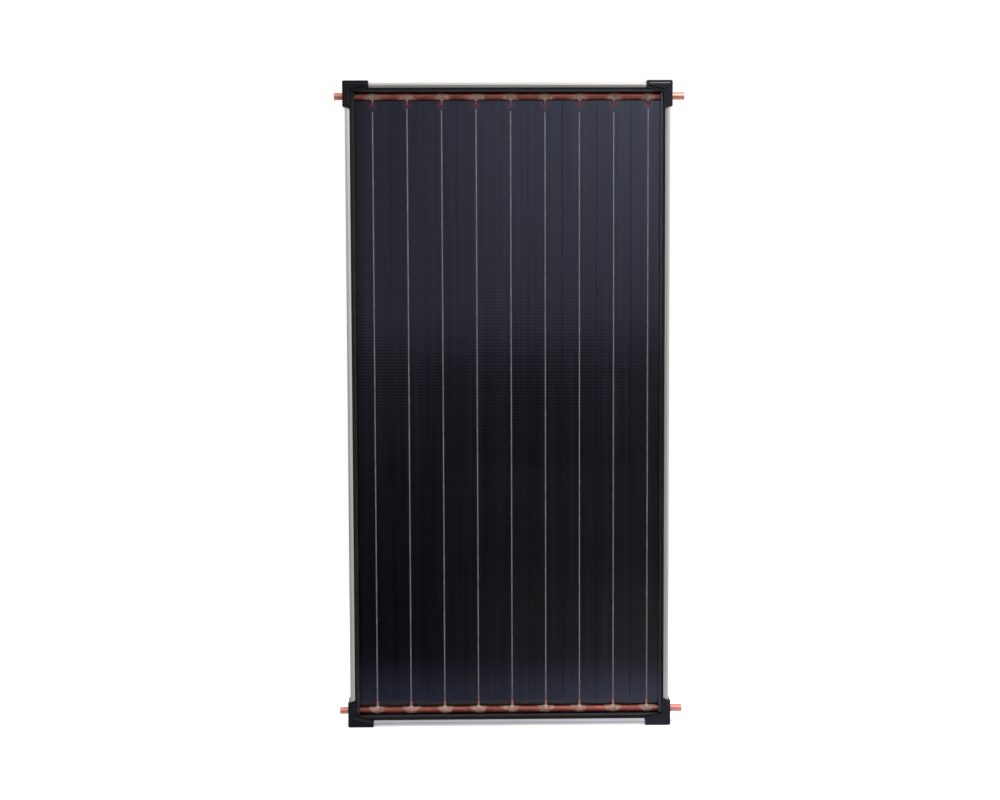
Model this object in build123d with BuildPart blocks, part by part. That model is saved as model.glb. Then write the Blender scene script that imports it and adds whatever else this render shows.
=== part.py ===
from build123d import *
import os

os.makedirs("parts", exist_ok=True)

# A glazed flat-plate solar collector, standing on its two lower corner caps.
# X runs across it, Y from its glass to its back, and Z up, in millimetres.
# The origin is on the ground, midway across, at the middle of the rails' depth.
# Depths are counted back from the crown of the front bezel. Insets are counted
# inwards from the rails' outer faces.

# --- casing ---
casing_width = 1000.0
casing_height = 2000.0
casing_depth = 75.0
cap_overhang = 7.0
casing_front = -casing_depth / 2
casing_left = -casing_width / 2
casing_bottom = cap_overhang
casing_middle = casing_bottom + casing_height / 2
across_middle = Plane.YZ
between_ends = Plane.XY.offset(casing_middle)

# --- rail section ---
rail_wall = 1.6
rail_edge_round = 0.8
bezel_width = 14.5
bezel_crown = 6.5
bezel_shoulder = 4.5
bezel_lip = 1.8
ledge_width = 17.0
flange_width = 22.0
side_rail_gap = 52.0
end_rail_gap = 26.0

# --- glazing: a pane in a U-shaped gasket, between the bezel and the rails' ledge ---
glass_thickness = 3.2
glass_depth = 6.0
glass_inset = 6.4
glass_corner_round = 4.0
gasket_depth = 3.8
gasket_back = 11.2
gasket_web = 2.0
gasket_front_lip = 20.0
gasket_back_lip = 16.5

# --- corner caps ---
cap_wall = 3.0
cap_front_skin = 2.5
cap_back_skin = 4.0
cap_arm = 72.0
cap_end_arm_slant = 2.0
cap_side_arm_slant = 8.0
cap_side_width = 20.0
cap_end_width = 16.0
cap_gusset = 29.0
cap_corner_round = 5.5
cap_small_round = 1.5
cap_hollow = cap_arm - 4.0
cap_field_border = 6.5
cap_field_rise = 1.5
cap_field_bevel = 3.5

# --- absorber: nine finned risers between two headers ---
header_radius = 11.0
header_wall = 0.8
header_length = 1080.0
header_centre = 6.0
header_inset = 39.0
header_z = casing_bottom + header_inset
stub_length = 22.0
stub_groove_width = 1.5
stub_groove_depth = 0.3
riser_count = 9
riser_radius = 4.75
riser_wall = 0.5
riser_pitch = 106.4
riser_centre = 9.5
riser_foot = header_z + header_radius - 1.4
riser_span = 2 * (casing_middle - riser_foot)
fin_depth = 32.0
fin_thickness = 0.5
fin_gap = 1.0
fin_foot = casing_bottom + 69.0
fin_head = casing_bottom + 1945.0
fin_notch_width = 12.0
fin_notch_height = 10.0
absorber_y = casing_front + fin_depth + fin_thickness + riser_radius
braze_foot_radius = 8.0
braze_tip_radius = 5.2
braze_height = 4.5

# --- grommets that carry the headers in the caps ---
grommet_clearance = 0.05
grommet_neck_radius = 13.5
grommet_collar_radius = 16.0
grommet_collar = 1.5

# --- insulation and back ---
mat_depth = 43.5
mat_inset = 3.0
mat_rebate_inset = 24.0
mat_rebate_depth = 67.5
mat_groove_floor = 49.0
mat_groove_half_width = 16.0
strip_depth = 13.0
strip_thickness = 13.0
strip_outer_inset = 2.0
strip_inner_inset = 28.0
end_strip_inner_inset = 26.0
sheet_thickness = 0.7
sheet_inset = 2.0
sheet_depth = casing_depth - rail_wall - sheet_thickness

# --- fixings in the back flange ---
fixing_inset = 11.0
rivet_radius = 1.6
rivet_head_radius = 3.2
rivet_head_height = 1.1
rivet_head_round = 1.0
rivet_bulb_radius = 2.4
rivet_bulb_length = 2.0
side_rivets = 7
side_rivet_pitch = 270.0
end_rivets = 4
end_rivet_pitch = 250.0
screw_radius = 1.95
screw_hole_radius = 2.1
screw_length = 9.5
screw_head_radius = 3.7
screw_point_length = 2.0
screw_recess = 1.2
cap_screw_reach = 62.0

riser_places = [riser_centre + (n - (riser_count - 1) / 2) * riser_pitch for n in range(riser_count)]


def save(piece, name):
    """Label a finished piece and write it to its own file."""
    piece.part.label = name
    export_step(piece.part, f"parts/{name}.step")


def facing(depth, x=0.0, z=0.0):
    """A plane parallel to the glass and looking out of the front: local x is X, local y is Z."""
    return Plane(origin=(x, casing_front + depth, z), x_dir=(1, 0, 0), z_dir=(0, -1, 0))


def behind(depth, x, z):
    """A plane parallel to the glass and looking out of the back."""
    return Plane(origin=(x, casing_front + depth, z), x_dir=(-1, 0, 0), z_dir=(0, 1, 0))


def casing_rectangle(inset, corner_round=0.0, mode=Mode.ADD):
    """A rectangle this far inside of the rails' outer faces, for a sketch on a facing plane."""
    with Locations((0, casing_middle)):
        if corner_round:
            RectangleRounded(casing_width - 2 * inset, casing_height - 2 * inset, corner_round, mode=mode)
        else:
            Rectangle(casing_width - 2 * inset, casing_height - 2 * inset, mode=mode)


# ---------------------------------------------------------------- places of the fixings


def mirrored_in_x(points):
    """The same points on the other side of the casing."""
    return [(-x, z) for x, z in points]


def mirrored_in_z(points):
    """The same points at the other end of the casing."""
    return [(x, 2 * casing_middle - z) for x, z in points]


left_rivet_points = [
    (casing_left + fixing_inset, casing_middle + (n - (side_rivets - 1) / 2) * side_rivet_pitch)
    for n in range(side_rivets)
]
bottom_rivet_points = [
    ((n - (end_rivets - 1) / 2) * end_rivet_pitch, casing_bottom + fixing_inset)
    for n in range(end_rivets)
]
rivet_points = left_rivet_points + mirrored_in_x(left_rivet_points)
rivet_points += bottom_rivet_points + mirrored_in_z(bottom_rivet_points)

side_screw_point = (casing_left + fixing_inset, casing_bottom + cap_screw_reach)
end_screw_point = (casing_left + cap_screw_reach, casing_bottom + fixing_inset)
cap_screw_points = [side_screw_point, end_screw_point]
screw_points = cap_screw_points + mirrored_in_x(cap_screw_points)
screw_points += mirrored_in_z(screw_points)


# ---------------------------------------------------------------- casing rails


def bezel_face():
    """The front of a rail's section, from its outer face over the crown to the inner lip."""
    return [(0, bezel_shoulder), (bezel_crown, 0), (bezel_width, bezel_lip), (bezel_width, gasket_depth)]


def rail_section():
    """A rail's section: local x runs inwards from its outer face, local y back from its crown."""
    ledge_back = gasket_back + rail_wall
    flange_front = casing_depth - rail_wall
    with BuildSketch() as section:
        with BuildLine():
            Polyline(
                *bezel_face(),
                (bezel_width - rail_wall, gasket_depth),
                (bezel_width - rail_wall, bezel_lip + rail_wall),
                (bezel_crown, rail_wall),
                (rail_wall, bezel_shoulder + rail_wall),
                (rail_wall, gasket_back),
                (ledge_width, gasket_back),
                (ledge_width, ledge_back),
                (rail_wall, ledge_back),
                (rail_wall, flange_front),
                (flange_width, flange_front),
                (flange_width, casing_depth),
                (0, casing_depth),
                close=True,
            )
        make_face()
        crown = section.vertices().group_by(Axis.Y)[0]
        outer_edges = section.vertices().group_by(Axis.X)[0]
        fillet(crown + outer_edges, radius=rail_edge_round)
    return section.sketch


def left_side(z):
    """A plane square to the left side's run: local x is inwards, local y is back, normal is up."""
    return Plane(origin=(casing_left, casing_front, z), x_dir=(1, 0, 0), z_dir=(0, 0, 1))


def bottom_end(x):
    """A plane square to the bottom end's run: local x is up into the casing, local y is back."""
    return Plane(origin=(x, casing_front, casing_bottom), x_dir=(0, 0, 1), z_dir=(-1, 0, 0))


def flange_hole_sketch(rivets, screws):
    """Holes through a rail's back flange, for a sketch on a facing plane."""
    with Locations(*rivets):
        Circle(rivet_radius)
    with Locations(*screws):
        Circle(screw_radius)


with BuildPart() as left_rail:
    with BuildSketch(left_side(casing_bottom + side_rail_gap)):
        add(rail_section())
    extrude(amount=casing_height - 2 * side_rail_gap)
    with BuildSketch(facing(casing_depth)):
        flange_hole_sketch(left_rivet_points, [side_screw_point, *mirrored_in_z([side_screw_point])])
    extrude(amount=2 * rail_wall, mode=Mode.SUBTRACT)
save(left_rail, "left_rail")

with BuildPart() as right_rail:
    mirror(left_rail.part, about=across_middle)
save(right_rail, "right_rail")

with BuildPart() as bottom_rail:
    with BuildSketch(bottom_end(casing_width / 2 - end_rail_gap)):
        add(rail_section())
    extrude(amount=casing_width - 2 * end_rail_gap)
    with BuildSketch(facing(casing_depth)):
        flange_hole_sketch(bottom_rivet_points, [end_screw_point, *mirrored_in_x([end_screw_point])])
    extrude(amount=2 * rail_wall, mode=Mode.SUBTRACT)
save(bottom_rail, "bottom_rail")

with BuildPart() as top_rail:
    mirror(bottom_rail.part, about=between_ends)
save(top_rail, "top_rail")


# ---------------------------------------------------------------- corner caps


def cap_outline():
    """Front outline of the lower left cap: local x and y are the insets from the casing's corner."""
    with BuildSketch() as outline:
        with BuildLine():
            Polyline(
                (-cap_overhang, -cap_overhang),
                (cap_arm, -cap_overhang),
                (cap_arm + cap_end_arm_slant, cap_end_width),
                (cap_side_width, cap_gusset),
                (cap_side_width, cap_arm + cap_side_arm_slant),
                (-cap_overhang, cap_arm),
                close=True,
            )
        make_face()
    return outline.sketch


def rounded_cap_outline():
    """The same outline with its corners rounded, most of all the casing's own corner."""
    with BuildSketch() as outline:
        add(cap_outline())
        corners = outline.vertices().sort_by(lambda corner: corner.X + corner.Y)
        fillet(corners[1:], radius=cap_small_round)
        outer_corner = outline.vertices().sort_by(lambda corner: corner.X + corner.Y)[0]
        fillet(outer_corner, radius=cap_corner_round)
    return outline.sketch


def rail_room():
    """The section that a cap's arm leaves free: everything inside and behind of the bezel's face."""
    with BuildSketch() as room:
        with BuildLine():
            Polyline(
                *bezel_face(),
                (2 * cap_arm, gasket_depth),
                (2 * cap_arm, casing_depth),
                (0, casing_depth),
                close=True,
            )
        make_face()
    return room.sketch


cap_front = -cap_front_skin

with BuildPart() as corner_cap_bottom_left:
    with BuildSketch(facing(cap_front, casing_left, casing_bottom)):
        add(rounded_cap_outline())
    extrude(amount=cap_front - casing_depth - cap_back_skin)
    with BuildSketch(facing(cap_front, casing_left, casing_bottom)):
        offset(cap_outline(), amount=-cap_field_border, kind=Kind.INTERSECTION)
    with BuildSketch(facing(cap_front - cap_field_rise, casing_left, casing_bottom)):
        offset(cap_outline(), amount=-cap_field_border - cap_field_bevel, kind=Kind.INTERSECTION)
    loft()
    with BuildSketch(facing(bezel_shoulder, casing_left, casing_bottom)):
        with Locations((cap_wall - cap_overhang, cap_wall - cap_overhang)):
            Rectangle(cap_hollow, cap_hollow, align=(Align.MIN, Align.MIN))
    extrude(amount=-(casing_depth - bezel_shoulder), mode=Mode.SUBTRACT)
    with BuildSketch(left_side(casing_bottom)):
        add(rail_room())
    extrude(amount=2 * cap_arm, mode=Mode.SUBTRACT)
    with BuildSketch(bottom_end(casing_left + 2 * cap_arm)):
        add(rail_room())
    extrude(amount=2 * cap_arm, mode=Mode.SUBTRACT)
    with BuildSketch(Plane.YZ.offset(casing_left - 2 * cap_overhang)):
        with Locations((absorber_y, header_z)):
            Circle(grommet_neck_radius)
    extrude(amount=2 * cap_overhang, mode=Mode.SUBTRACT)
    with Locations(*[behind(casing_depth + cap_back_skin, x, z) for x, z in cap_screw_points]):
        CounterSinkHole(
            radius=screw_hole_radius,
            counter_sink_radius=screw_head_radius + screw_hole_radius - screw_radius,
            counter_sink_angle=90,
            depth=cap_back_skin + rail_wall / 2,
        )
save(corner_cap_bottom_left, "corner_cap_bottom_left")

with BuildPart() as corner_cap_bottom_right:
    mirror(corner_cap_bottom_left.part, about=across_middle)
save(corner_cap_bottom_right, "corner_cap_bottom_right")

with BuildPart() as corner_cap_top_left:
    mirror(corner_cap_bottom_left.part, about=between_ends)
save(corner_cap_top_left, "corner_cap_top_left")

with BuildPart() as corner_cap_top_right:
    mirror(corner_cap_bottom_right.part, about=between_ends)
save(corner_cap_top_right, "corner_cap_top_right")


# ---------------------------------------------------------------- glazing


with BuildPart() as glass_pane:
    with BuildSketch(facing(glass_depth)):
        casing_rectangle(glass_inset, glass_corner_round)
    extrude(amount=-glass_thickness)
save(glass_pane, "glass_pane")

with BuildPart() as glass_gasket:
    with BuildSketch(facing(gasket_depth)):
        casing_rectangle(glass_inset - gasket_web, glass_corner_round)
        casing_rectangle(gasket_front_lip, mode=Mode.SUBTRACT)
    extrude(amount=-(gasket_back - gasket_depth))
    with BuildSketch(facing(glass_depth)):
        casing_rectangle(glass_inset, glass_corner_round)
    extrude(amount=-glass_thickness, mode=Mode.SUBTRACT)
    with BuildSketch(facing(glass_depth + glass_thickness)):
        casing_rectangle(gasket_back_lip)
    extrude(amount=-(gasket_back - glass_depth), mode=Mode.SUBTRACT)
save(glass_gasket, "glass_gasket")


# ---------------------------------------------------------------- headers and risers


header_left = header_centre - header_length / 2
header_right = header_centre + header_length / 2
groove_starts = [
    header_left + stub_length,
    header_right - stub_length - stub_groove_width,
]

with BuildPart() as bottom_header:
    with BuildSketch(Plane.YZ.offset(header_left)):
        with Locations((absorber_y, header_z)):
            Circle(header_radius)
            Circle(header_radius - header_wall, mode=Mode.SUBTRACT)
    extrude(amount=header_length)
    for start in groove_starts:
        with BuildSketch(Plane.YZ.offset(start)):
            with Locations((absorber_y, header_z)):
                Circle(header_radius + stub_groove_depth)
                Circle(header_radius - stub_groove_depth, mode=Mode.SUBTRACT)
        extrude(amount=stub_groove_width, mode=Mode.SUBTRACT)
    with BuildSketch(Plane.XY.offset(header_z)):
        with Locations(*[(x, absorber_y) for x in riser_places]):
            Circle(riser_radius)
    extrude(amount=2 * header_radius, mode=Mode.SUBTRACT)
save(bottom_header, "bottom_header")

with BuildPart() as top_header:
    mirror(bottom_header.part, about=between_ends)
save(top_header, "top_header")

for number, place in enumerate(riser_places, start=1):
    with BuildPart() as riser:
        with BuildSketch(Plane.XY.offset(riser_foot)):
            with Locations((place, absorber_y)):
                Circle(riser_radius)
                Circle(riser_radius - riser_wall, mode=Mode.SUBTRACT)
        extrude(amount=riser_span)
    save(riser, f"riser_{number}")

with BuildPart() as bottom_brazes:
    with Locations(*[(x, absorber_y, header_z + header_radius - 1) for x in riser_places]):
        Cone(
            braze_foot_radius,
            braze_tip_radius,
            braze_height,
            align=(Align.CENTER, Align.CENTER, Align.MIN),
        )
        Cylinder(riser_radius, 2 * header_radius, mode=Mode.SUBTRACT)
    with BuildSketch(Plane.YZ.offset(header_left)):
        with Locations((absorber_y, header_z)):
            Circle(header_radius)
    extrude(amount=header_length, mode=Mode.SUBTRACT)

with BuildPart() as braze_fillets:
    add(bottom_brazes.part)
    mirror(bottom_brazes.part, about=between_ends)
save(braze_fillets, "braze_fillets")


# ---------------------------------------------------------------- fins


for number, place in enumerate(riser_places, start=1):
    with BuildPart() as fin:
        with BuildSketch(facing(fin_depth)):
            with Locations((place, fin_foot)):
                Rectangle(riser_pitch - fin_gap, fin_head - fin_foot, align=(Align.CENTER, Align.MIN))
            with Locations((place, fin_head)):
                Rectangle(fin_notch_width, 2 * fin_notch_height, mode=Mode.SUBTRACT)
        extrude(amount=-fin_thickness)
    save(fin, f"fin_{number}")


# ---------------------------------------------------------------- header grommets


cap_outer_face = casing_left - cap_overhang
grommet_rings = [
    (cap_outer_face - grommet_collar, grommet_collar, grommet_collar_radius),
    (cap_outer_face, cap_wall, grommet_neck_radius),
    (cap_outer_face + cap_wall, grommet_collar, grommet_collar_radius),
]

with BuildPart() as grommet_bottom_left:
    for start, length, outer_radius in grommet_rings:
        with BuildSketch(Plane.YZ.offset(start)):
            with Locations((absorber_y, header_z)):
                Circle(outer_radius)
                Circle(header_radius + grommet_clearance, mode=Mode.SUBTRACT)
        extrude(amount=length)
    collar_rim = grommet_bottom_left.edges().filter_by(GeomType.CIRCLE).group_by(Axis.X)[0]
    fillet(collar_rim.sort_by(SortBy.RADIUS)[-1], radius=grommet_collar / 2)
save(grommet_bottom_left, "grommet_bottom_left")

with BuildPart() as grommet_bottom_right:
    mirror(grommet_bottom_left.part, about=across_middle)
save(grommet_bottom_right, "grommet_bottom_right")

with BuildPart() as grommet_top_left:
    mirror(grommet_bottom_left.part, about=between_ends)
save(grommet_top_left, "grommet_top_left")

with BuildPart() as grommet_top_right:
    mirror(grommet_bottom_right.part, about=between_ends)
save(grommet_top_right, "grommet_top_right")


# ---------------------------------------------------------------- insulation


with BuildPart() as back_insulation:
    with BuildSketch(facing(mat_depth)):
        casing_rectangle(mat_inset)
    extrude(amount=-(mat_rebate_depth - mat_depth))
    with BuildSketch(facing(mat_rebate_depth)):
        casing_rectangle(mat_rebate_inset)
    extrude(amount=-(sheet_depth - mat_rebate_depth))
    with BuildSketch(facing(mat_depth)):
        with Locations((0, header_z), (0, 2 * casing_middle - header_z)):
            Rectangle(casing_width, 2 * mat_groove_half_width)
    extrude(amount=-(mat_groove_floor - mat_depth), mode=Mode.SUBTRACT)
save(back_insulation, "back_insulation")

strip_joint = end_strip_inner_inset + 0.5

with BuildPart() as left_edge_insulation:
    with BuildSketch(facing(strip_depth)):
        with Locations((casing_left + strip_outer_inset, casing_bottom + strip_joint)):
            Rectangle(
                strip_inner_inset - strip_outer_inset,
                casing_height - 2 * strip_joint,
                align=(Align.MIN, Align.MIN),
            )
    extrude(amount=-strip_thickness)
save(left_edge_insulation, "left_edge_insulation")

with BuildPart() as right_edge_insulation:
    mirror(left_edge_insulation.part, about=across_middle)
save(right_edge_insulation, "right_edge_insulation")

with BuildPart() as bottom_edge_insulation:
    with BuildSketch(facing(strip_depth)):
        with Locations((0, casing_bottom + strip_outer_inset)):
            Rectangle(
                casing_width - 2 * strip_outer_inset,
                end_strip_inner_inset - strip_outer_inset,
                align=(Align.CENTER, Align.MIN),
            )
    extrude(amount=-strip_thickness)
save(bottom_edge_insulation, "bottom_edge_insulation")

with BuildPart() as top_edge_insulation:
    mirror(bottom_edge_insulation.part, about=between_ends)
save(top_edge_insulation, "top_edge_insulation")


# ---------------------------------------------------------------- back sheet and its fixings


with BuildPart() as back_sheet:
    with BuildSketch(facing(sheet_depth)):
        casing_rectangle(sheet_inset)
        with Locations(*rivet_points):
            Circle(rivet_radius, mode=Mode.SUBTRACT)
        with Locations(*screw_points):
            Circle(screw_radius, mode=Mode.SUBTRACT)
    extrude(amount=-sheet_thickness)
save(back_sheet, "back_sheet")

with BuildPart() as back_rivets:
    with Locations(*[behind(casing_depth, x, z) for x, z in rivet_points]):
        Cylinder(rivet_head_radius, rivet_head_height, align=(Align.CENTER, Align.CENTER, Align.MIN))
    fillet(back_rivets.edges().group_by(Axis.Y)[-1], radius=rivet_head_round)
    with Locations(*[behind(casing_depth, x, z) for x, z in rivet_points]):
        Cylinder(
            rivet_radius,
            casing_depth - sheet_depth + rivet_bulb_length,
            align=(Align.CENTER, Align.CENTER, Align.MAX),
        )
    with Locations(*[behind(sheet_depth, x, z) for x, z in rivet_points]):
        Cylinder(rivet_bulb_radius, rivet_bulb_length, align=(Align.CENTER, Align.CENTER, Align.MAX))
save(back_rivets, "back_rivets")

screw_head_height = screw_head_radius - screw_radius
screw_shank = screw_length - screw_head_height - screw_point_length
cap_rear = casing_depth + cap_back_skin

with BuildPart() as corner_screws:
    with Locations(*[behind(cap_rear, x, z) for x, z in screw_points]):
        Cone(
            screw_radius,
            screw_head_radius,
            screw_head_height,
            align=(Align.CENTER, Align.CENTER, Align.MAX),
        )
    with Locations(*[behind(cap_rear - screw_head_height, x, z) for x, z in screw_points]):
        Cylinder(screw_radius, screw_shank, align=(Align.CENTER, Align.CENTER, Align.MAX))
    with Locations(*[behind(cap_rear - screw_length, x, z) for x, z in screw_points]):
        Cone(
            screw_radius / 4,
            screw_radius,
            screw_point_length,
            align=(Align.CENTER, Align.CENTER, Align.MIN),
        )
    with Locations(*[behind(cap_rear, x, z) for x, z in screw_points]):
        Box(2 * screw_radius, screw_recess / 2, 2 * screw_recess, mode=Mode.SUBTRACT)
        Box(screw_recess / 2, 2 * screw_radius, 2 * screw_recess, mode=Mode.SUBTRACT)
save(corner_screws, "corner_screws")
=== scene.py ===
import math

import bpy
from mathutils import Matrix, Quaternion, Vector, noise


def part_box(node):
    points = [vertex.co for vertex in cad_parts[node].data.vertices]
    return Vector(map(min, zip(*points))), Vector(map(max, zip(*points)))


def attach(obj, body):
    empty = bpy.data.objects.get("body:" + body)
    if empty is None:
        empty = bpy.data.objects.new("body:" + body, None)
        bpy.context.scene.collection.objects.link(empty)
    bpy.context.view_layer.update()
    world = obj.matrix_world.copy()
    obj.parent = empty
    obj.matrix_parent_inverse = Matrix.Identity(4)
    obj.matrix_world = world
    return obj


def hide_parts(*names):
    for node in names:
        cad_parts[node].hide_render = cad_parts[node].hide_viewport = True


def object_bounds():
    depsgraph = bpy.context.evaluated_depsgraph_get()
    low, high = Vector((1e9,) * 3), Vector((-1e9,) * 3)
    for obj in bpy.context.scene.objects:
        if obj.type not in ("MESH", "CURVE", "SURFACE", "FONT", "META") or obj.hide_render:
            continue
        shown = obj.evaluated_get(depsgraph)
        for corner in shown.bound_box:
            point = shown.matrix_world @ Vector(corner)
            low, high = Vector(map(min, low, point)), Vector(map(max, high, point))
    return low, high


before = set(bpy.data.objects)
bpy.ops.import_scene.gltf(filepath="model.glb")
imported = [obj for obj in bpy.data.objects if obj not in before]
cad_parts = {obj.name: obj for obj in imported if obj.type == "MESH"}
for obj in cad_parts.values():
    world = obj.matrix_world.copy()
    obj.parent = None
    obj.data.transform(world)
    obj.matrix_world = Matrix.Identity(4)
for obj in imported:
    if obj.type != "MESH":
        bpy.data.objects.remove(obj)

CAD_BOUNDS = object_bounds()
MM = 0.001
WHITE = (1.0, 1.0, 1.0, 1.0)
FIN_COUNT = len([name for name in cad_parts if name.startswith("fin_")])
RAILS = {"left_rail": "z", "right_rail": "z", "bottom_rail": "x", "top_rail": "x"}
CORNERS = ("bottom_left", "bottom_right", "top_left", "top_right")


# ---------------------------------------------------------------- material graphs


class Graph:
    """A node tree with short calls for the nodes that the materials share."""

    def __init__(self, tree):
        self.tree = tree
        self.tree.nodes.clear()

    def add(self, kind, inputs=None, **settings):
        """Makes a node. An input is a plain value or another node's output."""
        made = self.tree.nodes.new(kind)
        for name, value in settings.items():
            setattr(made, name, value)
        for name, value in (inputs or {}).items():
            if isinstance(value, bpy.types.NodeSocket):
                self.tree.links.new(value, made.inputs[name])
            else:
                made.inputs[name].default_value = value
        return made

    def place(self, stretch=(1.0, 1.0, 1.0)):
        """The point in the row frame, in metres, stretched along each axis."""
        point = self.add("ShaderNodeTexCoord").outputs["Object"]
        scaled = self.add("ShaderNodeVectorMath", {0: point, 1: stretch}, operation="MULTIPLY")
        return scaled.outputs[0]

    def part_of(self, vector):
        """The X, Y and Z outputs of a vector."""
        return self.add("ShaderNodeSeparateXYZ", {0: vector}).outputs

    def noise(self, scale, stretch=(1.0, 1.0, 1.0), detail=3.0, roughness=0.55):
        """Smooth noise over the row frame, stretched along each axis."""
        point = self.place(stretch)
        inputs = {"Vector": point, "Scale": scale, "Detail": detail, "Roughness": roughness}
        return self.add("ShaderNodeTexNoise", inputs).outputs["Fac"]

    def math(self, operation, a, b=0.0, clamp=False):
        """One arithmetic step on values."""
        made = self.add("ShaderNodeMath", {0: a, 1: b}, operation=operation, use_clamp=clamp)
        return made.outputs[0]

    def remap(self, value, old, new, interpolation):
        inputs = {
            "Value": value,
            "From Min": old[0],
            "From Max": old[1],
            "To Min": new[0],
            "To Max": new[1],
        }
        made = self.add("ShaderNodeMapRange", inputs, interpolation_type=interpolation)
        return made.outputs["Result"]

    def span(self, value, low, high, new_low=0.0, new_high=1.0):
        """Maps low..high to new_low..new_high smoothly, and holds the ends."""
        return self.remap(value, (low, high), (new_low, new_high), "SMOOTHSTEP")

    def line(self, value, low, high, new_low=0.0, new_high=1.0):
        """Maps low..high to new_low..new_high in a straight line, and holds the ends."""
        return self.remap(value, (low, high), (new_low, new_high), "LINEAR")

    def ridge(self, value, centre, half_width):
        """One at the centre, falling to nothing half a width away on both sides."""
        away = self.math("ABSOLUTE", self.math("SUBTRACT", value, centre))
        return self.span(away, 0.0, half_width, 1.0, 0.0)

    def mix(self, share, a, b):
        """Mixes two colours."""
        made = self.add("ShaderNodeMix", {0: share, 6: a, 7: b}, data_type="RGBA")
        return made.outputs[2]

    def tinted(self, shade, factor):
        """Multiplies a colour by a value."""
        made = self.add("ShaderNodeVectorMath", {0: shade}, operation="SCALE")
        self.tree.links.new(factor, made.inputs["Scale"])
        return made.outputs[0]

    def bump(self, height, distance, strength=1.0, under=None):
        """A normal raised by a height, on top of another normal if one is given."""
        inputs = {"Height": height, "Distance": distance, "Strength": strength}
        if under is not None:
            inputs["Normal"] = under
        return self.add("ShaderNodeBump", inputs).outputs["Normal"]

    def emission(self, shade, strength):
        return self.add("ShaderNodeEmission", {"Color": shade, "Strength": strength}).outputs[0]

    def blend(self, share, a, b):
        """Mixes two shaders."""
        return self.add("ShaderNodeMixShader", {0: share, 1: a, 2: b}).outputs[0]

    def principled(self, **inputs):
        """A Principled shader. A word such as Base_Color stands for the input Base Color."""
        names = {name.replace("_", " "): value for name, value in inputs.items()}
        return self.add("ShaderNodeBsdfPrincipled", names).outputs["BSDF"]

    def behind_glass(self, **inputs):
        """A surface that carries the flat sheen of the pane in front of it, free of grain."""
        flat = self.add("ShaderNodeCombineXYZ", {"Y": -1.0}).outputs[0]
        sheen = {
            "Coat_Weight": 1.0,
            "Coat_IOR": GLASS_IOR,
            "Coat_Roughness": 0.02,
            "Coat_Normal": flat,
        }
        return self.principled(**(sheen | inputs))

    def surface(self, shader):
        self.add("ShaderNodeOutputMaterial", {"Surface": shader})


def new_material(name):
    material = bpy.data.materials.new(name)
    material.use_nodes = True
    return material, Graph(material.node_tree)


def colour(red, green, blue):
    return (red, green, blue, 1.0)


def toned(shade, tone):
    """A colour with each channel multiplied by a value."""
    return colour(*[channel * tone for channel in shade])


def middle_of(node):
    """The centre of a node's box."""
    low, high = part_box(node)
    return (low + high) / 2


# ---------------------------------------------------------------- materials


FIN_DEEP = (0.019, 0.018, 0.022)
FIN_LIGHT = (0.027, 0.025, 0.033)
FIN_CLOUD = (0.017, 0.016, 0.017)
# Painted shade of the gap between fins, laid along each fin's long edges.
FIN_GAP_SHADE = (0.009, 0.008, 0.009)
# Painted light on the fin ripples: how far crests are lightened and troughs darkened.
RIPPLE_PAINTED_LIGHT = 0.17
LEAST_RIPPLE_PAINTED_LIGHT = 0.09
CREST_SHEEN = 0.03
GLASS_IOR = 1.48
PANE_AT_A_GLANCE = 0.98
COPPER_CHANGE = (-4 * MM, 6 * MM)
# Painted light on the headers: heights, and the colour factors that go with them.
PAINTED_LIGHT_HEIGHTS = (0.2, 1.8)
PAINTED_LIGHT_TONES = (0.82, 1.12)
STAIN_REACH = (12 * MM, 28 * MM)
STAIN_SIDE = (-12 * MM, 10 * MM)
STAIN_RAGGED = 10 * MM
STAIN_EDGE = 6 * MM
STAIN_END = (34 * MM, 40 * MM)


def anodised_rail(name, run):
    """Satin anodised extrusion, with die lines that run along the rail."""
    material, g = new_material(name)
    die_lines = (900.0, 900.0, 1.5) if run == "z" else (1.5, 900.0, 900.0)
    wide_lines = (160.0, 160.0, 0.6) if run == "z" else (0.6, 160.0, 160.0)
    fine = g.noise(1.0, die_lines, detail=2.0)
    wide = g.noise(1.0, wide_lines, detail=2.0)
    blotch = g.noise(9.0, detail=4.0)
    shade = g.mix(g.span(wide, 0.35, 0.65), colour(0.50, 0.495, 0.485), colour(0.60, 0.595, 0.585))
    shade = g.mix(g.span(blotch, 0.45, 0.75, 0.0, 0.35), shade, colour(0.47, 0.45, 0.42))
    rough = g.math("ADD", g.span(fine, 0.3, 0.7, 0.30, 0.42), g.span(blotch, 0.3, 0.7, 0.0, 0.06))
    normal = g.bump(fine, 0.00004, 0.5)
    g.surface(g.principled(Base_Color=shade, Metallic=0.9, Roughness=rough, Normal=normal))
    return material


def moulded_plastic():
    """Black moulded plastic with a fine spark-eroded grain and a little dust."""
    material, g = new_material("cap_plastic")
    grain = g.noise(2600.0, detail=2.0)
    flow = g.noise(34.0, detail=4.0)
    dust = g.noise(420.0, detail=5.0, roughness=0.7)
    black = colour(0.0012, 0.0012, 0.0014)
    dusty = colour(0.006, 0.0057, 0.0053)
    shade = g.mix(g.span(dust, 0.62, 0.8, 0.0, 0.4), black, dusty)
    rough = g.math("ADD", g.span(flow, 0.3, 0.7, 0.17, 0.23), g.span(grain, 0.3, 0.7, 0.0, 0.05))
    normal = g.bump(flow, 0.0004, 0.15, g.bump(grain, 0.00004, 0.4))
    g.surface(g.principled(Base_Color=shade, Roughness=rough, Specular_IOR_Level=0.30, Normal=normal))
    return material


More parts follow.
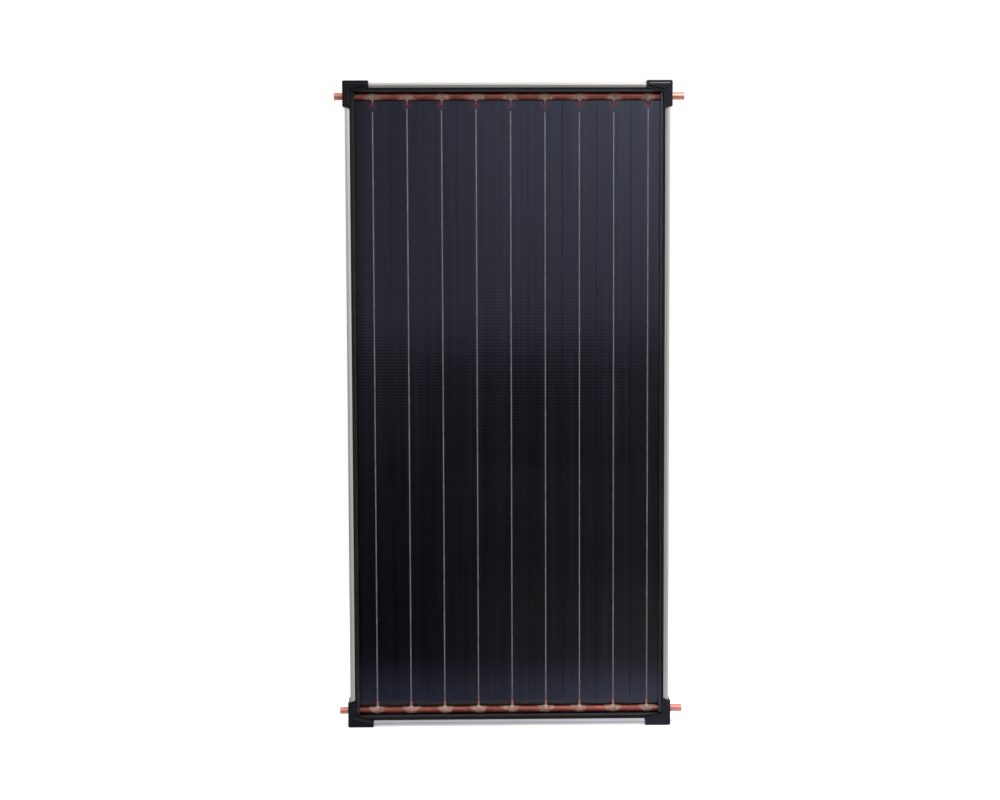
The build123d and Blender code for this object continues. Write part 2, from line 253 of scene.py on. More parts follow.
def rubber(name, shade_low, shade_high):
    """Black EPDM with a dull bloom on it."""
    material, g = new_material(name)
    bloom = g.noise(60.0, detail=5.0, roughness=0.7)
    skin = g.noise(1500.0, detail=2.0)
    shade = g.mix(g.span(bloom, 0.4, 0.75), colour(*shade_low), colour(*shade_high))
    normal = g.bump(skin, 0.00008, 0.6)
    g.surface(g.principled(Base_Color=shade, Roughness=0.7, Specular_IOR_Level=0.2, Normal=normal))
    return material


def clear_pane():
    """Coated solar glass: clear face-on, with a mirror reflection that grows at a glance."""
    material, g = new_material("clear_glass")
    wave = g.noise(2.2, (1.0, 1.0, 0.7), detail=1.0)
    normal = g.bump(wave, 0.0012, 1.0)
    geometry = g.add("ShaderNodeNewGeometry")
    facing = g.add(
        "ShaderNodeVectorMath",
        {0: geometry.outputs["Normal"], 1: geometry.outputs["Incoming"]},
        operation="DOT_PRODUCT",
    ).outputs["Value"]
    away = g.math("SUBTRACT", 1.0, g.math("ABSOLUTE", facing), clamp=True)
    fresnel = g.math("MULTIPLY", g.math("POWER", away, 5.0), PANE_AT_A_GLANCE)
    through = g.add("ShaderNodeBsdfTransparent", {"Color": colour(0.955, 0.97, 0.965)}).outputs[0]
    mirror = g.add("ShaderNodeBsdfGlossy", {"Roughness": 0.01, "Normal": normal}).outputs[0]
    g.surface(g.blend(fresnel, through, mirror))
    return material


def scorched(g, shade, aside, z, foot, head):
    """Heat stains beside the riser: a wide one at the fin's head, a small one at its foot."""
    near_head = g.span(g.math("SUBTRACT", head, z), 4 * MM, 34 * MM, 1.0, 0.0)
    head_stain = g.math("MULTIPLY", near_head, g.span(aside, 4 * MM, 20 * MM, 1.0, 0.0))
    shade = g.mix(g.math("MULTIPLY", head_stain, 0.9), shade, colour(0.105, 0.035, 0.040))
    near_foot = g.span(g.math("SUBTRACT", z, foot), 4 * MM, 20 * MM, 0.6, 0.0)
    foot_stain = g.math("MULTIPLY", near_foot, g.span(aside, 3 * MM, 12 * MM, 1.0, 0.0))
    return g.mix(foot_stain, shade, colour(0.060, 0.020, 0.026))


def selective_fin(number):
    """Blue-black selective coating on one fin. Each fin's roll differs a little in shade. Its colour also
    carries painted light: lighter on each ripple's crest, darker in each trough, and painted shade along
    its long edges.
    """
    material, g = new_material(f"fin_black_{number}")
    low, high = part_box(f"fin_{number}")
    centre_x = (low.x + high.x) / 2
    half_width = (high.x - low.x) / 2
    roll = 0.5 + 0.5 * noise.noise(Vector((number * 3.7, 1.3, 0.0)))
    tone = 0.85 + 0.3 * roll
    streak = g.noise(1.0, (60.0, 60.0, 1.2), detail=2.0)
    cloud = g.noise(5.0, (1.0, 1.0, 0.45), detail=4.0)
    shade = g.mix(g.span(streak, 0.3, 0.7), toned(FIN_DEEP, tone), toned(FIN_LIGHT, tone))
    shade = g.mix(g.span(cloud, 0.4, 0.8, 0.0, 0.45), shade, colour(*FIN_CLOUD))
    x, _, z = g.part_of(g.place())
    # Painted light: the colour is lightened on each ripple's crest and darkened in each trough, most
    # around the middle heights.
    crest = g.math("COSINE", g.math("MULTIPLY", z, 2 * math.pi / RIPPLE_PITCH))
    ripple_light_paint = g.math("MULTIPLY", g.ridge(z, RIPPLE_CENTRE, RIPPLE_REACH), RIPPLE_PAINTED_LIGHT)
    ripple_light_paint = g.math("ADD", LEAST_RIPPLE_PAINTED_LIGHT, ripple_light_paint)
    shade = g.tinted(shade, g.math("ADD", 1.0, g.math("MULTIPLY", crest, ripple_light_paint)))
    aside = g.math("ABSOLUTE", g.math("SUBTRACT", x, centre_x))
    shade = scorched(g, shade, aside, z, low.z, high.z)
    # Painted shade: the fin darkens towards its long edges, where the gap between fins falls dark.
    gap_shade_paint = g.span(aside, half_width - 3 * MM, half_width - 0.5 * MM, 0.0, 0.35)
    shade = g.mix(gap_shade_paint, shade, colour(*FIN_GAP_SHADE))
    rough = g.span(cloud, 0.3, 0.7, 0.285, 0.33)
    rolling = g.noise(1.0, (400.0, 400.0, 6.0), detail=2.0)
    normal = g.bump(rolling, 0.000003, 0.5)
    sheen = g.math("ADD", 1.0 - CREST_SHEEN, g.math("MULTIPLY", crest, CREST_SHEEN))
    g.surface(
        g.behind_glass(Base_Color=shade, Metallic=0.99, Roughness=rough, Normal=normal, Coat_Weight=sheen)
    )
    return material


def weld_track():
    """The seam's bare aluminium, printed with the welding wheel's fine cross teeth."""
    material, g = new_material("weld_track")
    tooth_pitch = 1.1 * MM
    _, _, z = g.part_of(g.place())
    teeth = g.math("SINE", g.math("MULTIPLY", z, 2 * math.pi / tooth_pitch))
    stain = g.noise(140.0, (1.0, 1.0, 0.3), detail=4.0)
    shade = g.mix(g.span(stain, 0.35, 0.7), colour(0.155, 0.138, 0.150), colour(0.235, 0.210, 0.225))
    normal = g.bump(teeth, 0.00012, 0.5)
    g.surface(g.principled(Base_Color=shade, Metallic=0.5, Roughness=0.45, Normal=normal))
    return material


def braze_stain(g):
    """How much a point on a header is stained by the nearest tee: widest on the riser's side."""
    x, _, z = g.part_of(g.place())
    first = middle_of("riser_1").x
    last = middle_of(f"riser_{FIN_COUNT}").x
    pitch = (last - first) / (FIN_COUNT - 1)
    turns = g.math("DIVIDE", g.math("SUBTRACT", x, first), pitch)
    aside = g.math("MULTIPLY", g.math("PINGPONG", turns, 0.5), pitch)
    axis = middle_of("bottom_header").z
    middle = (axis + middle_of("top_header").z) / 2
    from_middle = g.math("ABSOLUTE", g.math("SUBTRACT", z, middle))
    inward = g.math("SUBTRACT", middle - axis, from_middle)
    reach = g.span(inward, *STAIN_SIDE, *STAIN_REACH)
    run = g.noise(60.0, detail=5.0, roughness=0.65)
    ragged = g.span(run, 0.25, 0.75, -STAIN_RAGGED, STAIN_RAGGED)
    short = g.math("SUBTRACT", g.math("ADD", reach, ragged), aside)
    along = g.math("ABSOLUTE", g.math("SUBTRACT", x, (first + last) / 2))
    half_row = (last - first) / 2
    inside = g.span(along, half_row + STAIN_END[0], half_row + STAIN_END[1], 1.0, 0.0)
    return g.math("MULTIPLY", g.span(short, 0.0, STAIN_EDGE), inside)


def header_copper():
    """Drawn copper, dull from brazing inside the casing, crusted at each tee, clean at its ends. Inside
    the casing it also carries painted light: darker on the bottom header, lighter on the top one.
    """
    material, g = new_material("header_copper")
    x, _, z = g.part_of(g.place())
    patina = g.noise(26.0, (1.0, 2.0, 2.0), detail=5.0, roughness=0.62)
    drawn = g.noise(1.0, (3.0, 900.0, 900.0), detail=2.0)
    spread = g.span(patina, 0.35, 0.7)
    dulled_and_painted_light = g.mix(spread, colour(0.48, 0.148, 0.109), colour(0.31, 0.083, 0.060))
    # Painted light: the copper inside the casing is darkened low down and lightened high up.
    dulled_and_painted_light = g.tinted(dulled_and_painted_light, g.line(z, *PAINTED_LIGHT_HEIGHTS, *PAINTED_LIGHT_TONES))
    clean = g.mix(spread, colour(0.76, 0.34, 0.265), colour(0.62, 0.25, 0.195))
    half_casing = (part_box("right_rail")[1].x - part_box("left_rail")[0].x) / 2
    out = g.math("ABSOLUTE", x)
    outside = g.span(out, half_casing + COPPER_CHANGE[0], half_casing + COPPER_CHANGE[1])
    shade = g.mix(outside, dulled_and_painted_light, clean)
    stain = braze_stain(g)
    run = g.noise(130.0, (1.0, 1.0, 0.4), detail=5.0, roughness=0.7)
    crust = g.mix(g.span(run, 0.40, 0.62), colour(0.34, 0.145, 0.112), colour(0.48, 0.33, 0.285))
    shade = g.mix(g.math("MULTIPLY", stain, 0.85), shade, crust)
    rough = g.math("ADD", g.span(patina, 0.3, 0.7, 0.38, 0.50), g.math("MULTIPLY", stain, 0.15))
    metal = g.math("SUBTRACT", 0.92, g.math("MULTIPLY", stain, 0.55))
    normal = g.bump(patina, 0.0002, 0.3, g.bump(drawn, 0.00003, 0.5))
    g.surface(g.principled(Base_Color=shade, Metallic=metal, Roughness=rough, Normal=normal))
    return material


def riser_copper():
    """Small copper tube, with painted shade below the top header: darker towards the fins' heads."""
    material, g = new_material("riser_copper")
    patina = g.noise(60.0, (1.0, 1.0, 0.4), detail=5.0, roughness=0.62)
    drawn = g.noise(1.0, (900.0, 900.0, 3.0), detail=2.0)
    shade = g.mix(g.span(patina, 0.35, 0.7), colour(0.60, 0.31, 0.26), colour(0.44, 0.20, 0.17))
    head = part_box("fin_1")[1].z
    z = g.part_of(g.place())[2]
    # Painted shade: the riser darkens towards the fins' heads, where the top header shades it.
    header_shade_paint = g.span(z, head - 50 * MM, head - 10 * MM, 0.0, 0.75)
    shade = g.mix(header_shade_paint, shade, colour(0.17, 0.055, 0.05))
    rough = g.span(patina, 0.3, 0.7, 0.30, 0.45)
    normal = g.bump(patina, 0.0002, 0.3, g.bump(drawn, 0.00003, 0.5))
    g.surface(g.principled(Base_Color=shade, Metallic=0.9, Roughness=rough, Normal=normal))
    return material


def braze_metal():
    """Braze that has run and cooled: bright in places, crusted with flux in others."""
    material, g = new_material("braze_alloy")
    crust = g.noise(420.0, detail=5.0, roughness=0.7)
    shade = g.mix(g.span(crust, 0.4, 0.65), colour(0.46, 0.33, 0.28), colour(0.34, 0.29, 0.26))
    normal = g.bump(crust, 0.0004, 0.6)
    rough = g.span(crust, 0.3, 0.7, 0.42, 0.65)
    g.surface(g.principled(Base_Color=shade, Metallic=0.5, Roughness=rough, Normal=normal))
    return material


def wool(name, low, high):
    """Felted mineral wool: tangled fibres over soft clumps."""
    material, g = new_material(name)
    clump = g.noise(60.0, detail=5.0, roughness=0.65)
    fibre = g.noise(500.0, (1.0, 1.0, 0.35), detail=6.0, roughness=0.75)
    cross = g.noise(500.0, (0.35, 1.0, 1.0), detail=6.0, roughness=0.75)
    tangle = g.math("MAXIMUM", fibre, cross)
    shade = g.mix(g.span(tangle, 0.4, 0.75), colour(*low), colour(*high))
    shade = g.mix(g.span(clump, 0.35, 0.7, 0.0, 0.5), shade, colour(*low))
    normal = g.bump(clump, 0.002, 0.5, g.bump(tangle, 0.0006, 0.8))
    g.surface(g.behind_glass(Base_Color=shade, Roughness=0.95, Specular_IOR_Level=0.15, Normal=normal))
    return material


def stucco_sheet():
    """Mill aluminium with an orange-peel emboss."""
    material, g = new_material("back_aluminium")
    cells = g.add(
        "ShaderNodeTexVoronoi",
        {"Vector": g.place(), "Scale": 260.0, "Randomness": 1.0},
        feature="SMOOTH_F1",
    ).outputs["Distance"]
    handling = g.noise(7.0, detail=5.0, roughness=0.6)
    shade = g.mix(g.span(handling, 0.35, 0.7), colour(0.66, 0.66, 0.665), colour(0.56, 0.56, 0.56))
    rough = g.span(handling, 0.3, 0.7, 0.26, 0.38)
    normal = g.bump(cells, 0.0012, 0.55)
    g.surface(g.principled(Base_Color=shade, Metallic=0.95, Roughness=rough, Normal=normal))
    return material


def fastener_metal(name, shade, roughness):
    """Plated or plain fastener metal with small scuffs."""
    material, g = new_material(name)
    scuff = g.noise(900.0, detail=4.0, roughness=0.7)
    mixed = g.mix(g.span(scuff, 0.4, 0.7, 0.0, 0.5), colour(*shade), toned(shade, 0.6))
    rough = g.span(scuff, 0.3, 0.7, roughness, roughness + 0.15)
    normal = g.bump(scuff, 0.00008, 0.5)
    g.surface(g.principled(Base_Color=mixed, Metallic=0.95, Roughness=rough, Normal=normal))
    return material


def paint(node, material):
    """Gives a CAD node its material."""
    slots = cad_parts[node].data.materials
    slots.clear()
    slots.append(material)


# ---------------------------------------------------------------- mesh helpers


def make_piece(name, vertices, faces, materials, body, node):
    """A new mesh that rides on a body and stands for a CAD node."""
    mesh = bpy.data.meshes.new(name)
    mesh.from_pydata(vertices, [], faces)
    for material in materials:
        mesh.materials.append(material)
    piece = bpy.data.objects.new(name, mesh)
    bpy.context.scene.collection.objects.link(piece)
    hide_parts(node)
    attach(piece, body)
    return piece


def bake(piece, sharp_angle):
    """Applies the piece's modifiers, and smooths it but for edges sharper than the angle."""
    graph = bpy.context.evaluated_depsgraph_get()
    final = bpy.data.meshes.new_from_object(piece.evaluated_get(graph))
    piece.modifiers.clear()
    piece.data = final
    final.polygons.foreach_set("use_smooth", [True] * len(final.polygons))
    final.set_sharp_from_angle(angle=math.radians(sharp_angle))


def soften_edges(node, width):
    """Breaks a CAD node's hard edges with a small round, so that they catch the light."""
    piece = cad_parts[node]
    weld = piece.modifiers.new("join", "WELD")
    weld.merge_threshold = 0.00001
    flat = piece.modifiers.new("flats", "DECIMATE")
    flat.decimate_type = "DISSOLVE"
    flat.angle_limit = math.radians(0.5)
    bevel = piece.modifiers.new("round", "BEVEL")
    bevel.width = width
    bevel.segments = 2
    bevel.limit_method = "ANGLE"
    bevel.angle_limit = math.radians(25)
    bevel.use_clamp_overlap = True
    weighted = piece.modifiers.new("normals", "WEIGHTED_NORMAL")
    weighted.keep_sharp = True


# ---------------------------------------------------------------- fins


RIPPLE_PITCH = 10.0 * MM
RIPPLE_STEPS = 8
RIPPLE_HEIGHT = 0.08 * MM
RIPPLE_CENTRE = 1.20
RIPPLE_REACH = 0.45
RIPPLE_DRIFT = 0.3
END_FADE = 20.0 * MM
EDGE_FADE = 12.0 * MM
BUCKLE_HEIGHT = 0.12 * MM
TRACK_HALF = 1.8 * MM
TRACK_SINK = 0.25 * MM
NOTCH_HALF = 6.0 * MM
NOTCH_HEIGHT = 10.0 * MM
NOTCH_STEPS = 8
OUTER_COLUMNS = 6
FIN_STAND = 0.55 * MM
FIN_LEAN = 0.005
SEAM_BELOW = (1.0 * MM, 3.0 * MM)
SEAM_ABOVE = (18.0 * MM, 40.0 * MM)


def fin_columns(half_width):
    """Offsets across a fin from its seam: closer together at the seam than out on the fin."""
    near = [0.0, TRACK_HALF * 0.8, TRACK_HALF, TRACK_HALF * 1.6, NOTCH_HALF]
    reach = half_width - NOTCH_HALF
    far = [NOTCH_HALF + reach * n / OUTER_COLUMNS for n in range(1, OUTER_COLUMNS + 1)]
    right = near + far
    return [-x for x in reversed(right[1:])] + right


def fin_rows(foot, head):
    """Heights along a fin, several to each ripple, with one at the notch's foot."""
    notch_foot = head - NOTCH_HEIGHT
    step = RIPPLE_PITCH / RIPPLE_STEPS
    count = round((notch_foot - foot) / step)
    rows = [foot + (notch_foot - foot) * n / count for n in range(count + 1)]
    return rows + [notch_foot + NOTCH_HEIGHT * n / NOTCH_STEPS for n in range(1, NOTCH_STEPS + 1)]


def fin_height(number, x, z, offset, half_width, foot, head):
    """How far the fin's front stands out of its flat position at a point."""
    strength = 0.75 + 0.9 * noise.noise(Vector((x * 7.0, number * 5.1, z * 3.0)))
    strength *= 0.55 + 0.45 * max(0.0, 1.0 - abs(z - RIPPLE_CENTRE) / RIPPLE_REACH)
    ends = min(1.0, (z - foot) / END_FADE, (head - z) / END_FADE)
    edge = min(1.0, (half_width - abs(offset)) / EDGE_FADE)
    drift = RIPPLE_DRIFT * noise.noise(Vector((x * 16.0, number * 1.0, z * 6.0)))
    wave = math.cos(2 * math.pi * z / RIPPLE_PITCH + drift)
    ripple = RIPPLE_HEIGHT * max(0.0, strength) * ends * (0.35 + 0.65 * edge) * wave
    buckle = BUCKLE_HEIGHT * noise.noise(Vector((x * 12.0, number * 2.3, z * 2.2)))
    side = 1.0 if offset > 0.0 else 0.0
    lean = FIN_LEAN * abs(offset) * noise.noise(Vector((number * 3.3, 7.7 + 11.0 * side, z * 0.7)))
    if abs(offset) < TRACK_HALF * 0.9:
        return FIN_STAND + ripple * 0.2 + buckle + lean - TRACK_SINK
    return FIN_STAND + ripple + buckle + lean


def fin_faces(rows, columns, high, seam_foot, seam_head):
    """The grid's faces without the notch, and for each its material: 1 on the seam, else 0."""
    faces = []
    kinds = []
    for r in range(len(rows) - 1):
        for c in range(len(columns) - 1):
            middle = abs(columns[c] + columns[c + 1]) / 2
            height = (rows[r] + rows[r + 1]) / 2
            if middle < NOTCH_HALF and height > high - NOTCH_HEIGHT:
                continue
            corner = r * len(columns) + c
            faces.append((corner, corner + 1, corner + 1 + len(columns), corner + len(columns)))
            kinds.append(1 if middle < TRACK_HALF and seam_foot < height < seam_head else 0)
    return faces, kinds


def build_fin(number, seam):
    """A rippled fin with its weld track, notched round the riser at the top."""
    low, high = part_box(f"fin_{number}")
    centre = (low.x + high.x) / 2
    half_width = (high.x - low.x) / 2
    columns = fin_columns(half_width)
    rows = fin_rows(low.z, high.z)
    below = abs(noise.noise(Vector((number * 1.9, 0.4, 0.0))))
    above = abs(noise.noise(Vector((number * 2.7, 5.5, 0.0))))
    seam_foot = low.z + SEAM_BELOW[0] + SEAM_BELOW[1] * below
    seam_head = high.z - SEAM_ABOVE[0] - SEAM_ABOVE[1] * above
    vertices = []
    for z in rows:
        for offset in columns:
            stand = fin_height(number, centre + offset, z, offset, half_width, low.z, high.z)
            vertices.append((centre + offset, low.y - stand, z))
    faces, kinds = fin_faces(rows, columns, high.z, seam_foot, seam_head)
    materials = [selective_fin(number), seam]
    name = f"fin_{number}"
    piece = make_piece(f"{name}_sheet", vertices, faces, materials, "absorber", name)
    piece.data.polygons.foreach_set("material_index", kinds)
    sheet = piece.modifiers.new("thickness", "SOLIDIFY")
    sheet.thickness = high.y - low.y
    sheet.offset = -1.0
    bake(piece, 40)


# ---------------------------------------------------------------- brazed tees


BRAZE_RINGS = 7
BRAZE_SIDES = 28
BRAZE_FOOT = 4.2 * MM
BRAZE_HEIGHT = 3.6 * MM
PLUG_SQUEEZE = 0.94
PLUG_DROPS = (0.3 * MM, BRAZE_HEIGHT + 0.6 * MM)


def braze_ring(centre, axis_z, up, header_radius, riser_radius, share, seed):
    """One ring of a fillet: share 0 is its foot on the header, 1 its tip on the riser."""
    ring = []
    for side in range(BRAZE_SIDES):
        angle = 2 * math.pi * side / BRAZE_SIDES
        run = Vector((math.cos(angle), math.sin(angle), seed))
        uneven = 1.0 + 0.35 * noise.noise(run * 1.7)
        reach = riser_radius + BRAZE_FOOT * uneven * (1.0 - share) ** 1.9
        across = reach * math.sin(angle)
        on_header = math.sqrt(header_radius ** 2 - across ** 2)
        lift = BRAZE_HEIGHT * uneven * share ** 1.2 - 0.1 * MM * (1.0 - share)
        z = axis_z + up * (on_header + lift)
        ring.append((centre.x + reach * math.cos(angle), centre.y + across, z))
    return ring


def braze_rings(centre, axis_z, up, header_radius, riser_radius, seed):
    """The rings of one closed fillet: its skin from foot to tip, then back down inside."""
    points = []
    for ring in range(BRAZE_RINGS):
        share = ring / (BRAZE_RINGS - 1)
        points += braze_ring(centre, axis_z, up, header_radius, riser_radius, share, seed)
    tip = braze_ring(centre, axis_z, up, header_radius, riser_radius, 1.0, 0.0)
    for drop in PLUG_DROPS:
        for x, y, z in tip:
            inner_x = centre.x + (x - centre.x) * PLUG_SQUEEZE
            inner_y = centre.y + (y - centre.y) * PLUG_SQUEEZE
            points.append((inner_x, inner_y, z - up * drop))
    return points


def ring_faces(start, up):
    """Faces between the rings of one fillet, the last ring joined to the first."""
    rings = BRAZE_RINGS + len(PLUG_DROPS)
    faces = []
    for ring in range(rings):
        here = start + ring * BRAZE_SIDES
        there = start + (ring + 1) % rings * BRAZE_SIDES
        for side in range(BRAZE_SIDES):
            after = (side + 1) % BRAZE_SIDES
            face = (here + side, here + after, there + after, there + side)
            faces.append(face if up > 0 else tuple(reversed(face)))
    return faces


def build_brazes():
    """The eighteen fillets where risers meet headers, each one a little different."""
    vertices = []
    faces = []
    for header, up in (("bottom_header", 1), ("top_header", -1)):
        low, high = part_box(header)
        axis_z = (low.z + high.z) / 2
        header_radius = (high.z - low.z) / 2
        for number in range(1, FIN_COUNT + 1):
            riser_low, riser_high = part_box(f"riser_{number}")
            centre = (riser_low + riser_high) / 2
            riser_radius = (riser_high.x - riser_low.x) / 2
            seed = number * 4.1 + up
            faces += ring_faces(len(vertices), up)
            vertices += braze_rings(centre, axis_z, up, header_radius, riser_radius, seed)
    materials = [braze_metal()]
    piece = make_piece(
        "brazed_tees", vertices, faces, materials, "absorber", "braze_fillets"
    )
    bake(piece, 60)


# ---------------------------------------------------------------- soft insulation


WOOL_UNEVEN = 0.5 * MM
WOOL_ROLL = 4 * MM
GROOVE_CLEARANCE = 0.8 * MM
GROOVE_WIDER = 4 * MM
GROOVE_SLOPE = 0.3
EDGE_WOOL_STEP = 3 * MM
MAT_STEP = 8 * MM


def wool_height(x, z, seed):
    """Unevenness of a wool surface, in metres, never above zero."""
    soft = noise.noise(Vector((x * 18.0, seed, z * 18.0)))
    fine = noise.noise(Vector((x * 70.0, seed + 9.0, z * 70.0)))
    return (soft + 0.4 * fine - 1.2) * WOOL_UNEVEN


def grid_faces(columns, rows):
    """The faces of a grid whose points run along its rows."""
    faces = []
    for r in range(rows - 1):
        for c in range(columns - 1):
            corner = r * columns + c
            faces.append((corner, corner + 1, corner + 1 + columns, corner + columns))
    return faces


def wool_block(name, node, material, step, grooves=()):
    """A soft block in its CAD solid's place: uneven front, rolled edges, flat back.

    Each groove is the height, depth and half width of a valley pressed across the front.
    """
    low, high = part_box(node)
    columns = max(3, round((high.x - low.x) / step) + 1)
    rows = max(3, round((high.z - low.z) / step) + 1)
    roll = min(WOOL_ROLL, (high.x - low.x) / 4, (high.z - low.z) / 4)
    seed = float(len(name))
    front = []
    back = []
    for r in range(rows):
        z = low.z + (high.z - low.z) * r / (rows - 1)
        for c in range(columns):
            x = low.x + (high.x - low.x) * c / (columns - 1)
            edge = min(x - low.x, high.x - x, z - low.z, high.z - z)
            rolled = roll * (1 - min(1.0, edge / roll)) ** 2
            y = low.y - wool_height(x, z, seed) + rolled
            for height, depth, half_width in grooves:
                aside = abs(z - height) / half_width
                if aside < 1.0 + GROOVE_SLOPE:
                    y = max(y, low.y + depth * (1 - max(0.0, aside - 1.0) / GROOVE_SLOPE))
            front.append((x, y, z))
            back.append((x, high.y, z))
    faces = grid_faces(columns, rows)
    count = len(front)
    faces += [tuple(i + count for i in reversed(face)) for face in grid_faces(columns, rows)]
    rim = list(range(columns))
    rim += [r * columns + columns - 1 for r in range(1, rows)]
    rim += [(rows - 1) * columns + c for c in range(columns - 2, -1, -1)]
    rim += [r * columns for r in range(rows - 2, 0, -1)]
    for here, there in zip(rim, rim[1:] + rim[:1]):
        faces.append((here, here + count, there + count, there))
    piece = make_piece(name, front + back, faces, [material], "casing", node)
    bake(piece, 50)


def build_wool():
    """The four edge strips, and the mat with a groove behind each header."""
    edge_wool = wool("edge_wool", (0.016, 0.012, 0.010), (0.050, 0.038, 0.030))
    for side in ("left", "right", "bottom", "top"):
        name = f"{side}_edge_wool"
        wool_block(name, f"{side}_edge_insulation", edge_wool, EDGE_WOOL_STEP)
    mat_low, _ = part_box("back_insulation")
    grooves = []
    for header in ("bottom_header", "top_header"):
        low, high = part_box(header)
        depth = high.y - mat_low.y + GROOVE_CLEARANCE
        grooves.append(((low.z + high.z) / 2, depth, (high.z - low.z) / 2 + GROOVE_WIDER))
    facing = wool("mat_facing", (0.020, 0.014, 0.014), (0.055, 0.040, 0.038))
    wool_block("back_wool_mat", "back_insulation", facing, MAT_STEP, grooves)


# ---------------------------------------------------------------- carried-over CAD pieces


def dress_cad():
    """Materials, and softened edges, for the CAD nodes that stay."""
    along_z = anodised_rail("rail_upright", "z")
    along_x = anodised_rail("rail_level", "x")
    for rail, run in RAILS.items():
        paint(rail, along_z if run == "z" else along_x)
        soften_edges(rail, 0.25 * MM)
    plastic = moulded_plastic()
    grommet = rubber("grommet_rubber", (0.010, 0.010, 0.010), (0.022, 0.021, 0.020))
    for corner in CORNERS:
        paint(f"corner_cap_{corner}", plastic)
        soften_edges(f"corner_cap_{corner}", 0.5 * MM)
        paint(f"grommet_{corner}", grommet)
    paint("glass_pane", clear_pane())
    paint("glass_gasket", rubber("gasket_rubber", (0.004, 0.004, 0.0035), (0.010, 0.009, 0.008)))
    paint("back_sheet", stucco_sheet())
    paint("back_rivets", fastener_metal("rivet_aluminium", (0.72, 0.72, 0.72), 0.32))
    paint("corner_screws", fastener_metal("fastener_zinc", (0.66, 0.67, 0.70), 0.25))
    header = header_copper()
    riser = riser_copper()
    for name in ("bottom_header", "top_header"):
        paint(name, header)
    for number in range(1, FIN_COUNT + 1):
        paint(f"riser_{number}", riser)


# ---------------------------------------------------------------- studio


# The room in front of the pane, as slopes of a ray: its rise, or its way aside, per metre ahead.
ROOM_DUSK = 0.13
WINDOW_GLOW = 0.30
RIGHT_GLOW = 1.29
FIGURE_SHADE = 0.90
FIGURE_ASIDE = 0.030
FIGURE_HALF = 0.085
LEFT_SHADE = 0.30
WINDOW_COLOUR = (0.97, 0.97, 1.42)
ROOM_COLOUR = (1.0, 1.0, 1.02)
STUDIO_COLOUR = (0.88, 0.87, 0.84)
STUDIO_LEFT_COLOUR = (0.20, 0.20, 0.21)

# The floor in front of the pane, as mirrors see it.
FLOOR_HALF = 7.0
FLOOR_WHITE = (0.93, 0.93, 0.93)
FLOOR_LIFT = 0.32
NEAR_COLOUR = (0.88, 0.90, 1.55)
FAR_COLOUR = (1.0, 0.80, 0.82)
SIDE_COLOUR = (1.0, 0.98, 0.97)
SIDE_GLOW = 0.62
BARE_GLOW = 0.74
CAMERA_SLANT = 0.13

CAMERA_PLACE = (-0.153, -5.953, 1.5075)
CAMERA_AIM = (-0.0267, -0.0375, 1.0307)
CAMERA_ROLL = -0.19
CAMERA_LENS = 68.8
SENSOR_WIDTH = 36.0
LAMP_COLOUR = (1.0, 0.97, 0.92)


def room_glow(g, rise, aside):
    """The room's brightness: a window above, brighter to the right, behind a dark figure."""
    dusk = g.line(rise, -0.13, -0.08, 0.0, ROOM_DUSK)
    glow = g.math("ADD", dusk, g.span(rise, -0.075, -0.030, 0.0, WINDOW_GLOW))
    rightward = g.line(aside, -0.03, 0.17, 0.0, RIGHT_GLOW)
    glow = g.math("ADD", glow, g.math("MULTIPLY", g.line(rise, -0.05, 0.07), rightward))
    below = g.span(rise, -0.095, -0.040, FIGURE_SHADE, 0.0)
    figure = g.math("MULTIPLY", below, g.ridge(aside, FIGURE_ASIDE, FIGURE_HALF))
    glow = g.math("MULTIPLY", glow, g.math("SUBTRACT", 1.0, figure))
    return g.math("MULTIPLY", glow, g.line(aside, -0.058, -0.044, LEFT_SHADE, 1.0))


def outside_room(g, y, rise, aside):
    """One where a ray leaves the room: far aside, far up or down, or backwards."""
    to_right = g.span(aside, 0.38, 1.13)
    to_left = g.span(aside, -0.50, -0.18, 1.0, 0.0)
    up_or_down = g.span(g.math("ABSOLUTE", rise), 0.30, 0.90)
    sideways = g.math("MAXIMUM", to_right, to_left)
    return g.math("MAXIMUM", g.math("MAXIMUM", sideways, up_or_down), g.span(y, -0.1, 0.1))


def build_world():
    """A white studio. The camera sees plain white. Mirrors see the dim room behind the camera."""
    world = bpy.data.worlds.new("studio")
    bpy.context.scene.world = world
    world.use_nodes = True
    g = Graph(world.node_tree)
    direction = g.add("ShaderNodeTexCoord").outputs["Generated"]
    x, y, z = g.part_of(direction)
    ahead = g.math("MAXIMUM", g.math("MULTIPLY", y, -1.0), 0.001)
    rise = g.math("DIVIDE", z, ahead)
    aside = g.math("DIVIDE", x, ahead)
    beyond = g.span(g.math("ABSOLUTE", g.math("SUBTRACT", aside, 0.03)), 0.10, 0.22)
    shade = g.mix(beyond, colour(*WINDOW_COLOUR), colour(*ROOM_COLOUR))
    room = g.tinted(shade, room_glow(g, rise, aside))
    left = g.math("MULTIPLY", g.span(x, -0.55, 0.0, 1.0, 0.0), g.span(z, -0.06, 0.16, 1.0, 0.0))
    studio = g.mix(left, colour(*STUDIO_COLOUR), colour(*STUDIO_LEFT_COLOUR))
    mirrored = g.mix(outside_room(g, y, rise, aside), room, studio)
    skylight = g.span(z, -0.3, 0.7, 0.30, 1.05)
    rays = g.add("ShaderNodeLightPath").outputs
    lit = g.mix(rays["Is Glossy Ray"], skylight, mirrored)
    seen = g.mix(rays["Is Camera Ray"], lit, WHITE)
    background = g.add("ShaderNodeBackground", {"Color": seen, "Strength": 1.0})
    g.add("ShaderNodeOutputWorld", {"Surface": background.outputs[0]})


